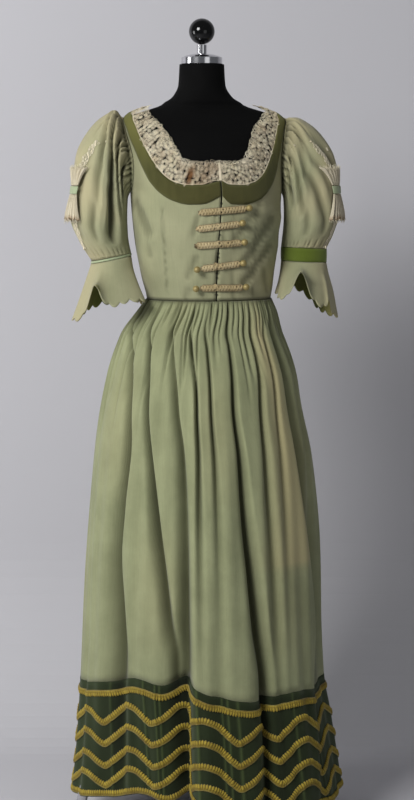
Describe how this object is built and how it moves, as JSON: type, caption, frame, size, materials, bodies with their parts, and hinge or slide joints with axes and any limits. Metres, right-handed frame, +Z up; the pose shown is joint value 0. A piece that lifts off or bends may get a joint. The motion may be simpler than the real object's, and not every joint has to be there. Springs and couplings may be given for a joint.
{
  "type": "biedermeier ball gown on a dress form",
  "caption": "Long gown with a fitted bodice, puffed sleeves, gathered skirt and braided velvet hem, worn on a limbless dress form with a chrome stand.",
  "frame": {"origin": "on the floor under the middle of the object's box", "axes": "+Z up, -Y towards the front of the gown, +X towards the viewer's right"},
  "size_m": [0.5983, 0.5518, 1.7403],
  "materials": {
    "jersey": "smooth black jersey",
    "chrome": "polished",
    "gloss": "glossy black lacquer",
    "rubber": "matt",
    "wool_light": "plain wool cloth, yellowish sage, matt",
    "wool": "plain wool cloth, sage, matt",
    "olive_velvet": "olive cotton velvet",
    "bright_velvet": "bright olive velvet ribbon",
    "ribbon": "pale blue-green satin ribbon",
    "dark_velvet": "dark green velvet with a soft sheen",
    "lace": "cream tape lace",
    "cord": "braided cream cord",
    "gilt": "worn gilt balls",
    "braid": "old gold gimp braid"
  },
  "bodies": {
    "root": {"form_torso": "jersey", "form_neck_cap": "chrome", "form_stem": "chrome", "stand_pole": "chrome", "stand_hub": "chrome", "stand_leg_1": "chrome", "stand_leg_2": "chrome", "stand_leg_3": "chrome", "form_ball": "gloss", "stand_foot_1": "rubber", "stand_foot_2": "rubber", "stand_foot_3": "rubber", "bodice_front_left": "wool_light", "bodice_front_right": "wool_light", "bodice_back_left": "wool_light", "bodice_back_right": "wool_light", "sleeve_left": "wool_light", "sleeve_right": "wool_light", "flounce_left": "wool_light", "flounce_right": "wool_light", "neck_band_left": "olive_velvet", "neck_band_right": "olive_velvet", "neck_lace_left": "lace", "neck_lace_right": "lace", "bow_fan_upper_left": "lace", "bow_fan_lower_left": "lace", "lace_line_upper_left": "lace", "lace_line_lower_left": "lace", "bow_fan_upper_right": "lace", "bow_fan_lower_right": "lace", "lace_line_upper_right": "lace", "lace_line_lower_right": "lace", "cuff_left": "ribbon", "bow_tie_left": "ribbon", "bow_tie_right": "ribbon", "cuff_right": "bright_velvet", "frog_1": "cord", "frog_2": "cord", "frog_3": "cord", "frog_4": "cord", "frog_5": "cord", "button_1_right": "gilt", "button_2_right": "gilt", "button_3_right": "gilt", "button_4_left": "gilt", "button_4_right": "gilt", "button_5_left": "gilt", "button_5_right": "gilt", "skirt_front": "wool", "skirt_back": "wool", "hem_band_front": "dark_velvet", "hem_band_back": "dark_velvet", "braid_straight": "braid", "braid_wave_1": "braid", "braid_wave_2": "braid", "braid_wave_3": "braid", "braid_wave_4": "braid", "braid_hem": "braid"}
  },
  "joints": []
}
